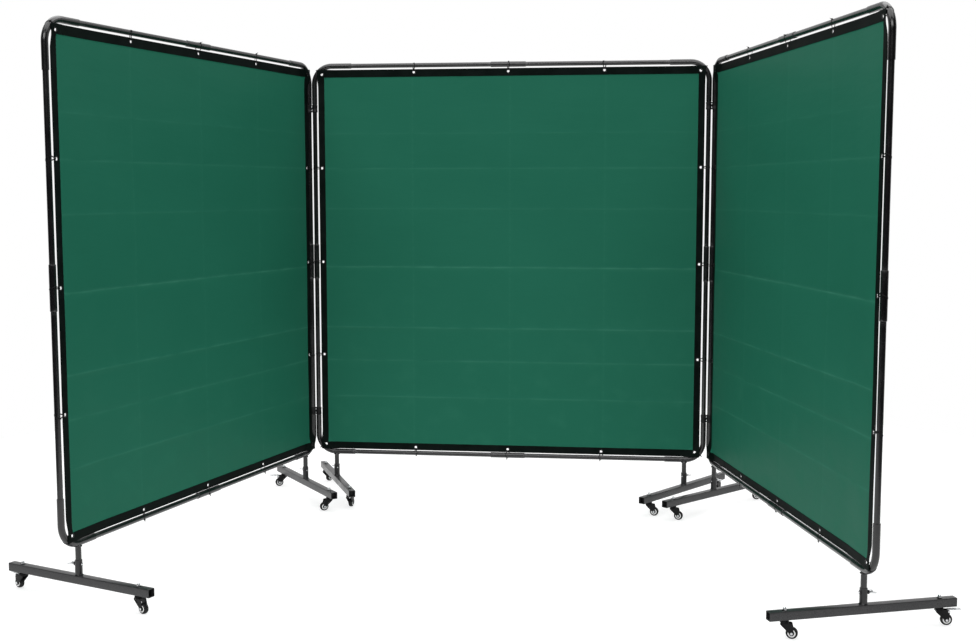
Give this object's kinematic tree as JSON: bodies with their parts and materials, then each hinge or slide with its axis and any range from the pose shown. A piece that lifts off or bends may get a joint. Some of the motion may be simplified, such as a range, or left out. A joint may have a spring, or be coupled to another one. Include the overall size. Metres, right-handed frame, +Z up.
{
  "type": "welding curtain screen",
  "caption": "Hinged folding screen of tinted vinyl curtains tied into round-tube frames, standing on tee feet with swivel casters.",
  "frame": {"origin": "on the floor, under the middle of the whole screen as it stands open", "axes": "+X along the centre panel, -Y towards the side the side panels are turned to, +Z up"},
  "size_m": [3.3568, 2.131, 2.0305],
  "materials": {
    "frame_paint": "gloss black paint on steel tube",
    "foot_paint": "satin black paint on steel tube",
    "caster_black": "satin black pressed steel",
    "tyre": "matte black rubber",
    "zinc_plate": "bright zinc plate",
    "vinyl_sheet": "tinted translucent vinyl with a soft sheen"
  },
  "bodies": {
    "centre_panel": {"centre_top_rail": "frame_paint", "centre_bottom_rail": "frame_paint", "centre_left_upright": "frame_paint", "centre_right_upright": "frame_paint", "centre_curtain": "vinyl_sheet"},
    "left_panel": {"left_top_rail": "frame_paint", "left_bottom_rail": "frame_paint", "left_left_upright": "frame_paint", "left_right_upright": "frame_paint", "left_curtain": "vinyl_sheet"},
    "right_panel": {"right_top_rail": "frame_paint", "right_bottom_rail": "frame_paint", "right_left_upright": "frame_paint", "right_right_upright": "frame_paint", "right_curtain": "vinyl_sheet"},
    "left_outer_foot": {"left_outer_foot": "foot_paint"},
    "left_outer_wing_bolt": {"left_outer_wing_bolt": "zinc_plate"},
    "left_outer_front_fork": {"left_outer_front_fork": "caster_black"},
    "left_outer_front_wheel": {"left_outer_front_wheel": "tyre"},
    "left_outer_rear_fork": {"left_outer_rear_fork": "caster_black"},
    "left_outer_rear_wheel": {"left_outer_rear_wheel": "tyre"},
    "left_outer_brake_pedal": {"left_outer_rear_brake_pedal": "zinc_plate"},
    "left_inner_foot": {"left_inner_foot": "foot_paint"},
    "left_inner_wing_bolt": {"left_inner_wing_bolt": "zinc_plate"},
    "left_inner_front_fork": {"left_inner_front_fork": "caster_black"},
    "left_inner_front_wheel": {"left_inner_front_wheel": "tyre"},
    "left_inner_rear_fork": {"left_inner_rear_fork": "caster_black"},
    "left_inner_rear_wheel": {"left_inner_rear_wheel": "tyre"},
    "left_inner_brake_pedal": {"left_inner_rear_brake_pedal": "zinc_plate"},
    "centre_left_foot": {"centre_left_foot": "foot_paint"},
    "centre_left_wing_bolt": {"centre_left_wing_bolt": "zinc_plate"},
    "centre_left_front_fork": {"centre_left_front_fork": "caster_black"},
    "centre_left_front_wheel": {"centre_left_front_wheel": "tyre"},
    "centre_left_rear_fork": {"centre_left_rear_fork": "caster_black"},
    "centre_left_rear_wheel": {"centre_left_rear_wheel": "tyre"},
    "centre_left_brake_pedal": {"centre_left_rear_brake_pedal": "zinc_plate"},
    "centre_right_foot": {"centre_right_foot": "foot_paint"},
    "centre_right_wing_bolt": {"centre_right_wing_bolt": "zinc_plate"},
    "centre_right_front_fork": {"centre_right_front_fork": "caster_black"},
    "centre_right_front_wheel": {"centre_right_front_wheel": "tyre"},
    "centre_right_rear_fork": {"centre_right_rear_fork": "caster_black"},
    "centre_right_rear_wheel": {"centre_right_rear_wheel": "tyre"},
    "centre_right_brake_pedal": {"centre_right_rear_brake_pedal": "zinc_plate"},
    "right_inner_foot": {"right_inner_foot": "foot_paint"},
    "right_inner_wing_bolt": {"right_inner_wing_bolt": "zinc_plate"},
    "right_inner_front_fork": {"right_inner_front_fork": "caster_black"},
    "right_inner_front_wheel": {"right_inner_front_wheel": "tyre"},
    "right_inner_rear_fork": {"right_inner_rear_fork": "caster_black"},
    "right_inner_rear_wheel": {"right_inner_rear_wheel": "tyre"},
    "right_inner_brake_pedal": {"right_inner_rear_brake_pedal": "zinc_plate"},
    "right_outer_foot": {"right_outer_foot": "foot_paint"},
    "right_outer_wing_bolt": {"right_outer_wing_bolt": "zinc_plate"},
    "right_outer_front_fork": {"right_outer_front_fork": "caster_black"},
    "right_outer_front_wheel": {"right_outer_front_wheel": "tyre"},
    "right_outer_rear_fork": {"right_outer_rear_fork": "caster_black"},
    "right_outer_rear_wheel": {"right_outer_rear_wheel": "tyre"},
    "right_outer_brake_pedal": {"right_outer_rear_brake_pedal": "zinc_plate"}
  },
  "joints": [
    {"name": "left_panel_swing", "type": "hinge", "parent": "centre_panel", "child": "left_panel", "pos_m": [-0.93458, 0.74561, 0.20862], "axis": [0, 0, 1], "range_deg": [-34, 7]},
    {"name": "right_panel_swing", "type": "hinge", "parent": "centre_panel", "child": "right_panel", "pos_m": [0.92792, 0.74561, 0.20862], "axis": [0, 0, 1], "range_deg": [-10, 30]},
    {"name": "left_outer_foot_swivel", "type": "hinge", "parent": "left_panel", "child": "left_outer_foot", "pos_m": [-1.35177, -0.92766, 0.06162], "axis": [0, 0, 1], "continuous": true},
    {"name": "left_outer_wing_bolt_turn", "type": "hinge", "parent": "left_outer_foot", "child": "left_outer_wing_bolt", "pos_m": [-1.35177, -0.92766, 0.13162], "axis": [-0.9304, 0.3665, 0], "range_deg": [0, 360]},
    {"name": "left_outer_front_caster_swivel", "type": "hinge", "parent": "left_outer_foot", "child": "left_outer_front_fork", "pos_m": [-1.09126, -1.03028, 0.06162], "axis": [0, 0, 1], "continuous": true},
    {"name": "left_outer_front_wheel_roll", "type": "hinge", "parent": "left_outer_front_fork", "child": "left_outer_front_wheel", "pos_m": [-1.07047, -1.04228, 0.01962], "axis": [0.5, 0.866, 0], "continuous": true},
    {"name": "left_outer_rear_caster_swivel", "type": "hinge", "parent": "left_outer_foot", "child": "left_outer_rear_fork", "pos_m": [-1.61229, -0.82504, 0.06162], "axis": [0, 0, 1], "continuous": true},
    {"name": "left_outer_rear_wheel_roll", "type": "hinge", "parent": "left_outer_rear_fork", "child": "left_outer_rear_wheel", "pos_m": [-1.63307, -0.81304, 0.01962], "axis": [-0.5, -0.866, 0], "continuous": true},
    {"name": "left_outer_brake_pedal_press", "type": "hinge", "parent": "left_outer_rear_fork", "child": "left_outer_brake_pedal", "pos_m": [-1.63827, -0.81004, 0.04862], "axis": [-0.5, -0.866, 0], "range_deg": [0, 12]},
    {"name": "left_inner_foot_swivel", "type": "hinge", "parent": "left_panel", "child": "left_inner_foot", "pos_m": [-0.95514, 0.66314, 0.06162], "axis": [0, 0, 1], "range_deg": [-12, 8]},
    {"name": "left_inner_wing_bolt_turn", "type": "hinge", "parent": "left_inner_foot", "child": "left_inner_wing_bolt", "pos_m": [-0.95514, 0.66314, 0.13162], "axis": [-0.6018, 0.7986, 0], "range_deg": [0, 360]},
    {"name": "left_inner_front_caster_swivel", "type": "hinge", "parent": "left_inner_foot", "child": "left_inner_front_fork", "pos_m": [-0.78663, 0.43952, 0.06162], "axis": [0, 0, 1], "continuous": true},
    {"name": "left_inner_front_wheel_roll", "type": "hinge", "parent": "left_inner_front_fork", "child": "left_inner_front_wheel", "pos_m": [-0.8072, 0.42716, 0.01962], "axis": [0.515, -0.8572, 0], "continuous": true},
    {"name": "left_inner_rear_caster_swivel", "type": "hinge", "parent": "left_inner_foot", "child": "left_inner_rear_fork", "pos_m": [-1.12365, 0.88675, 0.06162], "axis": [0, 0, 1], "continuous": true},
    {"name": "left_inner_rear_wheel_roll", "type": "hinge", "parent": "left_inner_rear_fork", "child": "left_inner_rear_wheel", "pos_m": [-1.14558, 0.87699, 0.01962], "axis": [0.4067, -0.9135, 0], "continuous": true},
    {"name": "left_inner_brake_pedal_press", "type": "hinge", "parent": "left_inner_rear_fork", "child": "left_inner_brake_pedal", "pos_m": [-1.15106, 0.87455, 0.04862], "axis": [0.4067, -0.9135, 0], "range_deg": [0, 12]},
    {"name": "centre_left_foot_swivel", "type": "hinge", "parent": "centre_panel", "child": "centre_left_foot", "pos_m": [-0.82308, 0.74561, 0.06162], "axis": [0, 0, 1], "range_deg": [-8, 30]},
    {"name": "centre_left_wing_bolt_turn", "type": "hinge", "parent": "centre_left_foot", "child": "centre_left_wing_bolt", "pos_m": [-0.82308, 0.74561, 0.13162], "axis": [-0.4226, 0.9063, 0], "range_deg": [0, 360]},
    {"name": "centre_left_front_caster_swivel", "type": "hinge", "parent": "centre_left_foot", "child": "centre_left_front_fork", "pos_m": [-0.70474, 0.49184, 0.06162], "axis": [0, 0, 1], "continuous": true},
    {"name": "centre_left_front_wheel_roll", "type": "hinge", "parent": "centre_left_front_fork", "child": "centre_left_front_wheel", "pos_m": [-0.70182, 0.51567, 0.01962], "axis": [-0.9925, 0.1219, 0], "continuous": true},
    {"name": "centre_left_rear_caster_swivel", "type": "hinge", "parent": "centre_left_foot", "child": "centre_left_rear_fork", "pos_m": [-0.94141, 0.99938, 0.06162], "axis": [0, 0, 1], "continuous": true},
    {"name": "centre_left_rear_wheel_roll", "type": "hinge", "parent": "centre_left_rear_fork", "child": "centre_left_rear_wheel", "pos_m": [-0.92941, 1.02016, 0.01962], "axis": [-0.866, 0.5, 0], "continuous": true},
    {"name": "centre_left_brake_pedal_press", "type": "hinge", "parent": "centre_left_rear_fork", "child": "centre_left_brake_pedal", "pos_m": [-0.92641, 1.02536, 0.04862], "axis": [-0.866, 0.5, 0], "range_deg": [0, 12]},
    {"name": "centre_right_foot_swivel", "type": "hinge", "parent": "centre_panel", "child": "centre_right_foot", "pos_m": [0.81642, 0.74561, 0.06162], "axis": [0, 0, 1], "range_deg": [-26, 12]},
    {"name": "centre_right_wing_bolt_turn", "type": "hinge", "parent": "centre_right_foot", "child": "centre_right_wing_bolt", "pos_m": [0.81642, 0.74561, 0.13162], "axis": [0.5736, 0.8192, 0], "range_deg": [0, 360]},
    {"name": "centre_right_front_caster_swivel", "type": "hinge", "parent": "centre_right_foot", "child": "centre_right_front_fork", "pos_m": [0.65582, 0.51625, 0.06162], "axis": [0, 0, 1], "continuous": true},
    {"name": "centre_right_front_wheel_roll", "type": "hinge", "parent": "centre_right_front_fork", "child": "centre_right_front_wheel", "pos_m": [0.6793, 0.51126, 0.01962], "axis": [0.2079, 0.9781, 0], "continuous": true},
    {"name": "centre_right_rear_caster_swivel", "type": "hinge", "parent": "centre_right_foot", "child": "centre_right_rear_fork", "pos_m": [0.97702, 0.97497, 0.06162], "axis": [0, 0, 1], "continuous": true},
    {"name": "centre_right_rear_wheel_roll", "type": "hinge", "parent": "centre_right_rear_fork", "child": "centre_right_rear_wheel", "pos_m": [0.98792, 0.99636, 0.01962], "axis": [-0.891, 0.454, 0], "continuous": true},
    {"name": "centre_right_brake_pedal_press", "type": "hinge", "parent": "centre_right_rear_fork", "child": "centre_right_brake_pedal", "pos_m": [0.99064, 1.0017, 0.04862], "axis": [-0.891, 0.454, 0], "range_deg": [0, 12]},
    {"name": "right_inner_foot_swivel", "type": "hinge", "parent": "right_panel", "child": "right_inner_foot", "pos_m": [0.94849, 0.66314, 0.06162], "axis": [0, 0, 1], "range_deg": [-12, 14]},
    {"name": "right_inner_wing_bolt_turn", "type": "hinge", "parent": "right_inner_foot", "child": "right_inner_wing_bolt", "pos_m": [0.94849, 0.66314, 0.13162], "axis": [0.6691, 0.7431, 0], "range_deg": [0, 360]},
    {"name": "right_inner_front_caster_swivel", "type": "hinge", "parent": "right_inner_foot", "child": "right_inner_front_fork", "pos_m": [0.76113, 0.45505, 0.06162], "axis": [0, 0, 1], "continuous": true},
    {"name": "right_inner_front_wheel_roll", "type": "hinge", "parent": "right_inner_front_fork", "child": "right_inner_front_wheel", "pos_m": [0.78469, 0.45048, 0.01962], "axis": [0.1908, 0.9816, 0], "continuous": true},
    {"name": "right_inner_rear_caster_swivel", "type": "hinge", "parent": "right_inner_foot", "child": "right_inner_rear_fork", "pos_m": [1.13584, 0.87122, 0.06162], "axis": [0, 0, 1], "continuous": true},
    {"name": "right_inner_rear_wheel_roll", "type": "hinge", "parent": "right_inner_rear_fork", "child": "right_inner_rear_wheel", "pos_m": [1.15948, 0.87538, 0.01962], "axis": [-0.1736, 0.9848, 0], "continuous": true},
    {"name": "right_inner_brake_pedal_press", "type": "hinge", "parent": "right_inner_rear_fork", "child": "right_inner_brake_pedal", "pos_m": [1.16539, 0.87643, 0.04862], "axis": [-0.1736, 0.9848, 0], "range_deg": [0, 12]},
    {"name": "right_outer_foot_swivel", "type": "hinge", "parent": "right_panel", "child": "right_outer_foot", "pos_m": [1.34512, -0.92766, 0.06162], "axis": [0, 0, 1], "continuous": true},
    {"name": "right_outer_wing_bolt_turn", "type": "hinge", "parent": "right_outer_foot", "child": "right_outer_wing_bolt", "pos_m": [1.34512, -0.92766, 0.13162], "axis": [0.9397, 0.342, 0], "range_deg": [0, 360]},
    {"name": "right_outer_front_caster_swivel", "type": "hinge", "parent": "right_outer_foot", "child": "right_outer_front_fork", "pos_m": [1.082, -1.02343, 0.06162], "axis": [0, 0, 1], "continuous": true},
    {"name": "right_outer_front_wheel_roll", "type": "hinge", "parent": "right_outer_front_fork", "child": "right_outer_front_wheel", "pos_m": [1.10556, -1.02801, 0.01962], "axis": [0.1908, 0.9816, 0], "continuous": true},
    {"name": "right_outer_rear_caster_swivel", "type": "hinge", "parent": "right_outer_foot", "child": "right_outer_rear_fork", "pos_m": [1.60823, -0.8319, 0.06162], "axis": [0, 0, 1], "continuous": true},
    {"name": "right_outer_rear_wheel_roll", "type": "hinge", "parent": "right_outer_rear_fork", "child": "right_outer_rear_wheel", "pos_m": [1.63223, -0.83148, 0.01962], "axis": [-0.0175, 0.9998, 0], "continuous": true},
    {"name": "right_outer_brake_pedal_press", "type": "hinge", "parent": "right_outer_rear_fork", "child": "right_outer_brake_pedal", "pos_m": [1.63823, -0.83137, 0.04862], "axis": [-0.0175, 0.9998, 0], "range_deg": [0, 12]}
  ]
}
